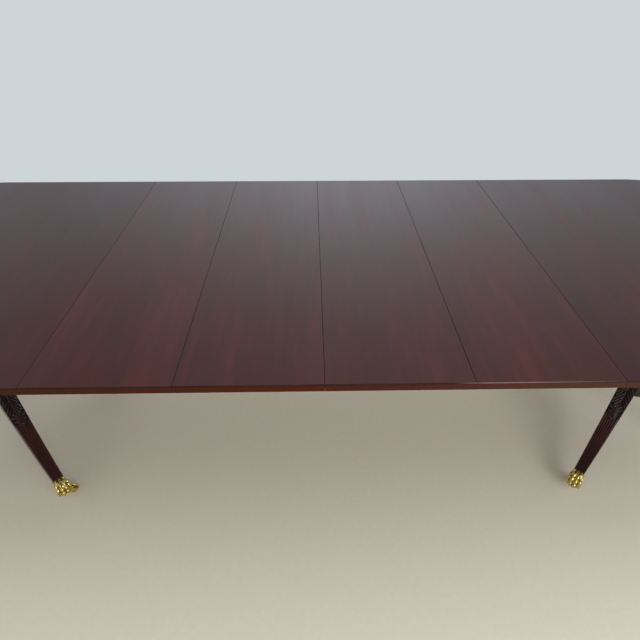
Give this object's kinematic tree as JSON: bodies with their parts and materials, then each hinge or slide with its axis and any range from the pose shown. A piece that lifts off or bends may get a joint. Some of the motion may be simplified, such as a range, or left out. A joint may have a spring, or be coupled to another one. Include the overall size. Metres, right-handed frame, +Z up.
{
  "type": "double pedestal dining table",
  "caption": "Long mahogany dining table with rounded ends and drop-in leaves on turned pedestals with reeded sabre legs, brass paw feet and casters; the top draws apart on wooden slides.",
  "frame": {"origin": "on the floor under the middle of the top", "axes": "+X along the table's length, +Y across it to the rear, +Z up"},
  "size_m": [3.05, 1.1176, 0.756],
  "materials": {
    "mahogany": "dark red-brown, satin varnish",
    "slide_wood": "plain oiled hardwood",
    "brass": "polished",
    "steel": "dull zinc"
  },
  "bodies": {
    "left_half": {"left_end_top": "mahogany", "left_end_cleat": "slide_wood", "left_pedestal_block": "slide_wood", "left_column": "mahogany", "left_hub_plate": "steel", "left_rail_front": "slide_wood", "left_rail_rear": "slide_wood", "left_screws": "steel", "left_leg_front_inner": "mahogany", "left_paw_front_inner": "brass", "left_leg_front_outer": "mahogany", "left_paw_front_outer": "brass", "left_leg_rear_inner": "mahogany", "left_paw_rear_inner": "brass", "left_leg_rear_outer": "mahogany", "left_paw_rear_outer": "brass"},
    "right_half": {"right_end_top": "mahogany", "right_end_cleat": "slide_wood", "right_pedestal_block": "slide_wood", "right_column": "mahogany", "right_hub_plate": "steel", "right_rail_front": "slide_wood", "right_rail_rear": "slide_wood", "right_screws": "steel", "right_leg_front_inner": "mahogany", "right_paw_front_inner": "brass", "right_leg_front_outer": "mahogany", "right_paw_front_outer": "brass", "right_leg_rear_inner": "mahogany", "right_paw_rear_inner": "brass", "right_leg_rear_outer": "mahogany", "right_paw_rear_outer": "brass", "right_end_pins": "brass"},
    "centre_slides": {"centre_rail_front": "slide_wood", "centre_rail_rear": "slide_wood", "centre_tie": "slide_wood"},
    "leaf_1": {"leaf_1": "mahogany", "leaf_1_pins": "brass"},
    "leaf_2": {"leaf_2": "mahogany", "leaf_2_pins": "brass"},
    "leaf_3": {"leaf_3": "mahogany", "leaf_3_pins": "brass"},
    "leaf_4": {"leaf_4": "mahogany", "leaf_4_pins": "brass"},
    "left_fork_front_inner": {"left_fork_front_inner": "brass"},
    "left_wheel_front_inner": {"left_wheel_front_inner": "brass"},
    "left_fork_front_outer": {"left_fork_front_outer": "brass"},
    "left_wheel_front_outer": {"left_wheel_front_outer": "brass"},
    "left_fork_rear_inner": {"left_fork_rear_inner": "brass"},
    "left_wheel_rear_inner": {"left_wheel_rear_inner": "brass"},
    "left_fork_rear_outer": {"left_fork_rear_outer": "brass"},
    "left_wheel_rear_outer": {"left_wheel_rear_outer": "brass"},
    "right_fork_front_inner": {"right_fork_front_inner": "brass"},
    "right_wheel_front_inner": {"right_wheel_front_inner": "brass"},
    "right_fork_front_outer": {"right_fork_front_outer": "brass"},
    "right_wheel_front_outer": {"right_wheel_front_outer": "brass"},
    "right_fork_rear_inner": {"right_fork_rear_inner": "brass"},
    "right_wheel_rear_inner": {"right_wheel_rear_inner": "brass"},
    "right_fork_rear_outer": {"right_fork_rear_outer": "brass"},
    "right_wheel_rear_outer": {"right_wheel_rear_outer": "brass"}
  },
  "joints": [
    {"name": "extension", "type": "slide", "parent": "left_half", "child": "right_half", "axis": [1, 0, 0], "range_m": [0, 0.12]},
    {"name": "centre_slide", "type": "slide", "parent": "left_half", "child": "centre_slides", "axis": [1, 0, 0], "range_m": [0, 0.06]},
    {"name": "leaf_1_slide", "type": "slide", "parent": "left_half", "child": "leaf_1", "axis": [1, 0, 0], "range_m": [0, 0.024]},
    {"name": "leaf_2_slide", "type": "slide", "parent": "left_half", "child": "leaf_2", "axis": [1, 0, 0], "range_m": [0, 0.048]},
    {"name": "leaf_3_slide", "type": "slide", "parent": "left_half", "child": "leaf_3", "axis": [1, 0, 0], "range_m": [0, 0.072]},
    {"name": "leaf_4_slide", "type": "slide", "parent": "left_half", "child": "leaf_4", "axis": [1, 0, 0], "range_m": [0, 0.096]},
    {"name": "left_front_inner_swivel", "type": "hinge", "parent": "left_half", "child": "left_fork_front_inner", "pos_m": [-0.84222, -0.28638, 0.03], "axis": [0, 0, 1], "continuous": true},
    {"name": "left_front_inner_roll", "type": "hinge", "parent": "left_fork_front_inner", "child": "left_wheel_front_inner", "pos_m": [-0.82537, -0.26402, 0.014], "axis": [-0.7986, 0.6018, 0], "continuous": true},
    {"name": "left_front_outer_swivel", "type": "hinge", "parent": "left_half", "child": "left_fork_front_outer", "pos_m": [-1.41498, -0.28638, 0.03], "axis": [0, 0, 1], "continuous": true},
    {"name": "left_front_outer_roll", "type": "hinge", "parent": "left_fork_front_outer", "child": "left_wheel_front_outer", "pos_m": [-1.44129, -0.2768, 0.014], "axis": [-0.342, -0.9397, 0], "continuous": true},
    {"name": "left_rear_inner_swivel", "type": "hinge", "parent": "left_half", "child": "left_fork_rear_inner", "pos_m": [-0.84222, 0.28638, 0.03], "axis": [0, 0, 1], "continuous": true},
    {"name": "left_rear_inner_roll", "type": "hinge", "parent": "left_fork_rear_inner", "child": "left_wheel_rear_inner", "pos_m": [-0.81591, 0.2768, 0.014], "axis": [0.342, 0.9397, 0], "continuous": true},
    {"name": "left_rear_outer_swivel", "type": "hinge", "parent": "left_half", "child": "left_fork_rear_outer", "pos_m": [-1.41498, 0.28638, 0.03], "axis": [0, 0, 1], "continuous": true},
    {"name": "left_rear_outer_roll", "type": "hinge", "parent": "left_fork_rear_outer", "child": "left_wheel_rear_outer", "pos_m": [-1.41984, 0.31395, 0.014], "axis": [-0.9848, -0.1736, 0], "continuous": true},
    {"name": "right_front_inner_swivel", "type": "hinge", "parent": "right_half", "child": "right_fork_front_inner", "pos_m": [0.84222, -0.28638, 0.03], "axis": [0, 0, 1], "continuous": true},
    {"name": "right_front_inner_roll", "type": "hinge", "parent": "right_fork_front_inner", "child": "right_wheel_front_inner", "pos_m": [0.85537, -0.26166, 0.014], "axis": [-0.8829, 0.4695, 0], "continuous": true},
    {"name": "right_front_outer_swivel", "type": "hinge", "parent": "right_half", "child": "right_fork_front_outer", "pos_m": [1.41498, -0.28638, 0.03], "axis": [0, 0, 1], "continuous": true},
    {"name": "right_front_outer_roll", "type": "hinge", "parent": "right_fork_front_outer", "child": "right_wheel_front_outer", "pos_m": [1.44202, -0.27913, 0.014], "axis": [-0.2588, 0.9659, 0], "continuous": true},
    {"name": "right_rear_inner_swivel", "type": "hinge", "parent": "right_half", "child": "right_fork_rear_inner", "pos_m": [0.84222, 0.28638, 0.03], "axis": [0, 0, 1], "continuous": true},
    {"name": "right_rear_inner_roll", "type": "hinge", "parent": "right_fork_rear_inner", "child": "right_wheel_rear_inner", "pos_m": [0.81591, 0.2768, 0.014], "axis": [0.342, -0.9397, 0], "continuous": true},
    {"name": "right_rear_outer_swivel", "type": "hinge", "parent": "right_half", "child": "right_fork_rear_outer", "pos_m": [1.41498, 0.28638, 0.03], "axis": [0, 0, 1], "continuous": true},
    {"name": "right_rear_outer_roll", "type": "hinge", "parent": "right_fork_rear_outer", "child": "right_wheel_rear_outer", "pos_m": [1.42223, 0.25933, 0.014], "axis": [0.9659, 0.2588, 0], "continuous": true}
  ],
  "couplings": [
    {"joint": "centre_slide", "follows": "extension", "ratio": 0.5},
    {"joint": "leaf_1_slide", "follows": "extension", "ratio": 0.2},
    {"joint": "leaf_2_slide", "follows": "extension", "ratio": 0.4},
    {"joint": "leaf_3_slide", "follows": "extension", "ratio": 0.6},
    {"joint": "leaf_4_slide", "follows": "extension", "ratio": 0.8}
  ]
}
